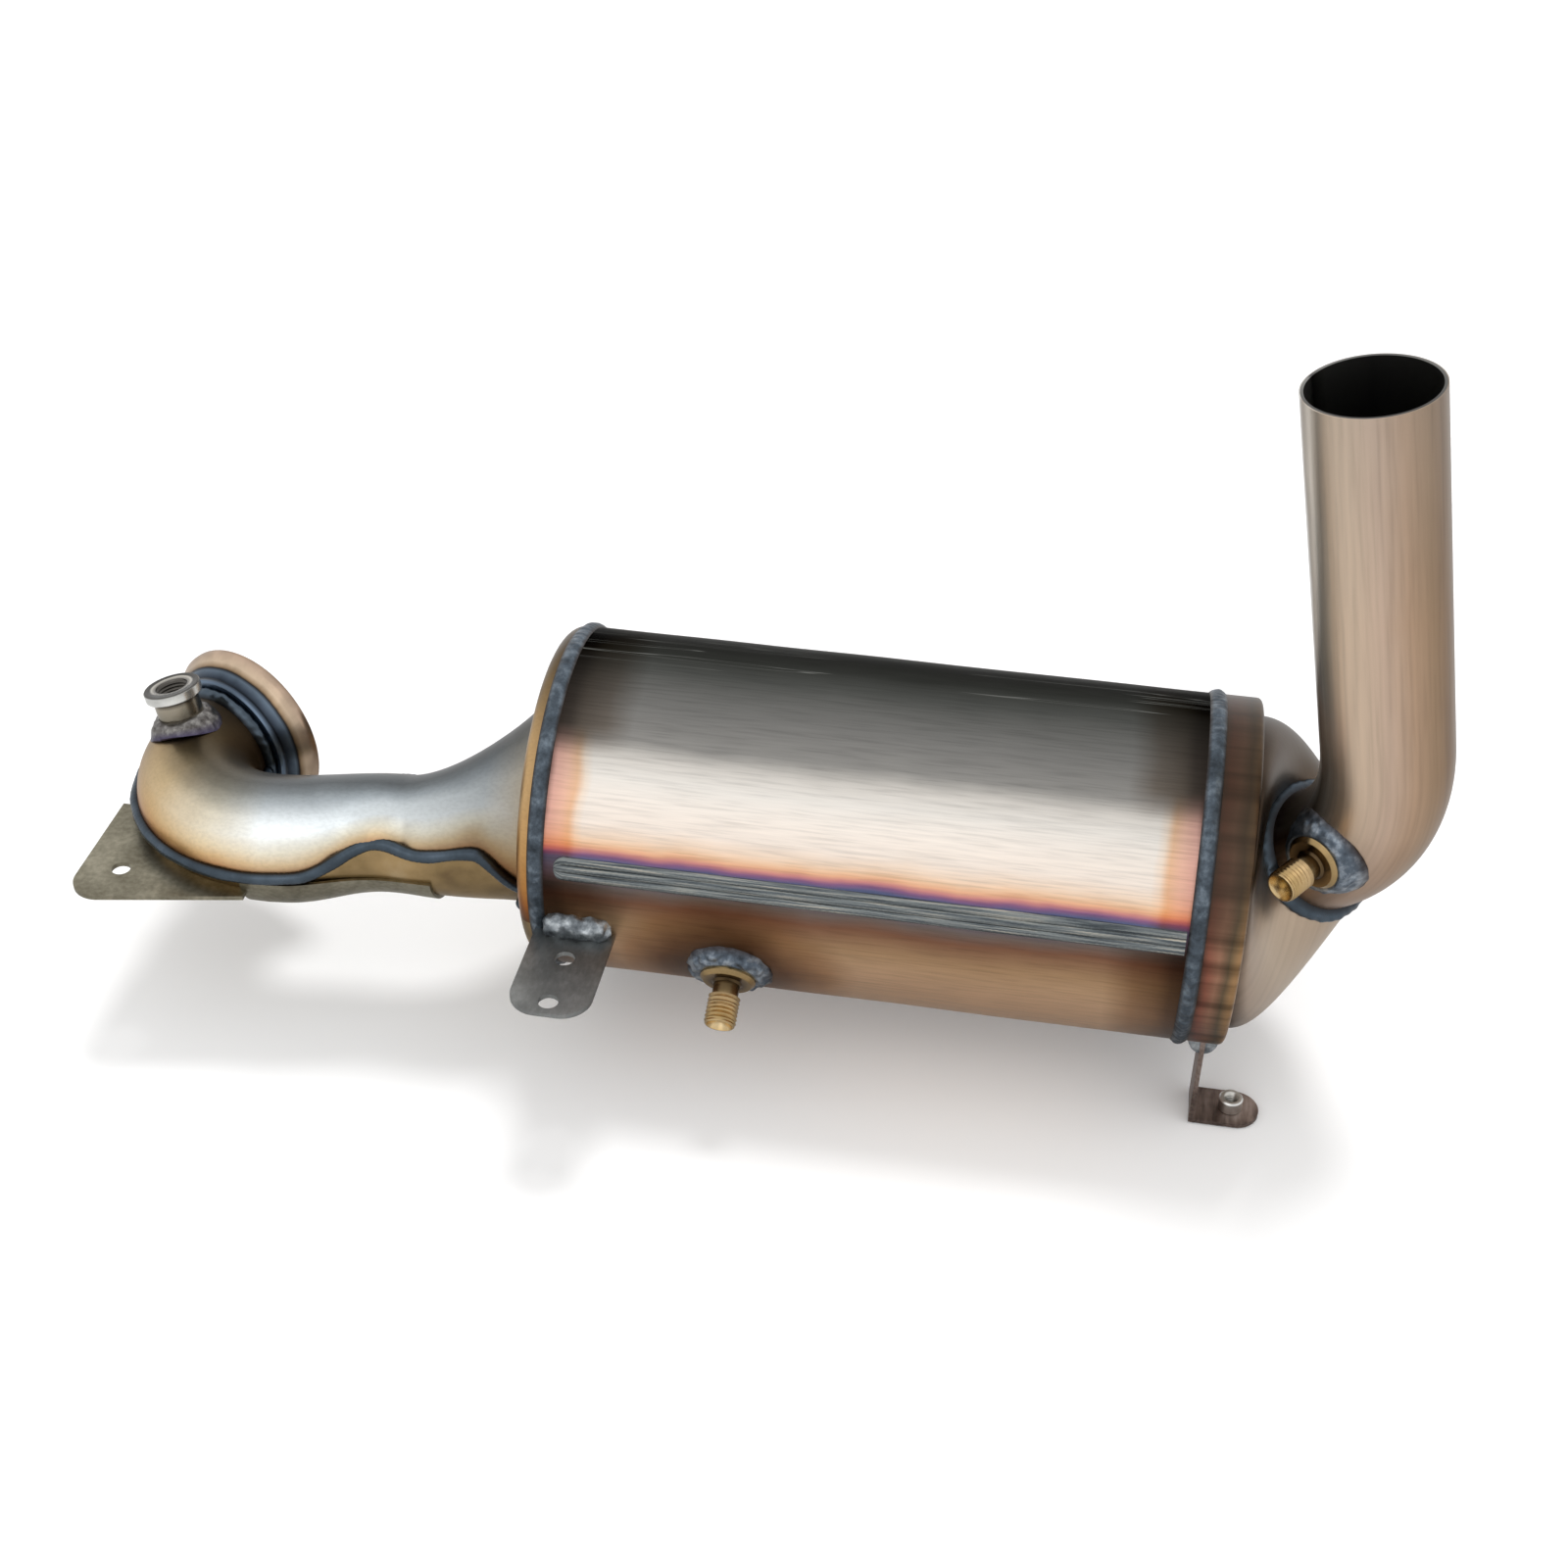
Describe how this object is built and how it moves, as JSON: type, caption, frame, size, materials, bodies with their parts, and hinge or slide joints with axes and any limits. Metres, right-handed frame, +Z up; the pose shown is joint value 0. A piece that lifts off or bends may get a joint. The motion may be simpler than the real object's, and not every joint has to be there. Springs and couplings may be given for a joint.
{
  "type": "diesel particulate filter",
  "caption": "Stainless exhaust can with a flanged inlet elbow, sensor boss, pressure nipples, brackets and a bent outlet pipe.",
  "frame": {"origin": "centre of the inlet flange's open face", "axes": "+X along the can from its inlet end to its outlet end; +Z up; -Y the side with the nipples and brackets"},
  "size_m": [0.55, 0.194, 0.3373],
  "materials": {
    "stainless_shell": "satin",
    "shell_pressings": "satin",
    "pipe_steel": "satin",
    "turned_steel": "satin",
    "weld_metal": "rough",
    "nipple_brass_tint": "satin",
    "bracket_sheet": "satin",
    "plated_nut": "satin",
    "ceramic_brick": "matte",
    "fibre_mat": "matte"
  },
  "bodies": {
    "root": {"can_shell": "stainless_shell", "inlet_upper_half": "shell_pressings", "inlet_lower_half": "shell_pressings", "outlet_cap": "shell_pressings", "outlet_pipe": "pipe_steel", "inlet_flange": "turned_steel", "sensor_boss": "turned_steel", "can_seam_weld": "weld_metal", "inlet_seam_weld": "weld_metal", "inlet_back_seam_weld": "weld_metal", "inlet_girth_weld": "weld_metal", "outlet_girth_weld": "weld_metal", "inlet_flange_weld": "weld_metal", "sensor_boss_weld": "weld_metal", "outlet_pipe_weld": "weld_metal", "upstream_nipple_weld": "weld_metal", "downstream_nipple_weld": "weld_metal", "can_bracket_weld": "weld_metal", "foot_bracket_weld": "weld_metal", "upstream_nipple": "nipple_brass_tint", "downstream_nipple": "nipple_brass_tint", "can_bracket": "bracket_sheet", "elbow_bracket": "bracket_sheet", "foot_bracket": "bracket_sheet", "weld_nut": "plated_nut", "oxidation_brick": "ceramic_brick", "filter_brick": "ceramic_brick", "oxidation_mat": "fibre_mat", "filter_mat": "fibre_mat"}
  },
  "joints": []
}
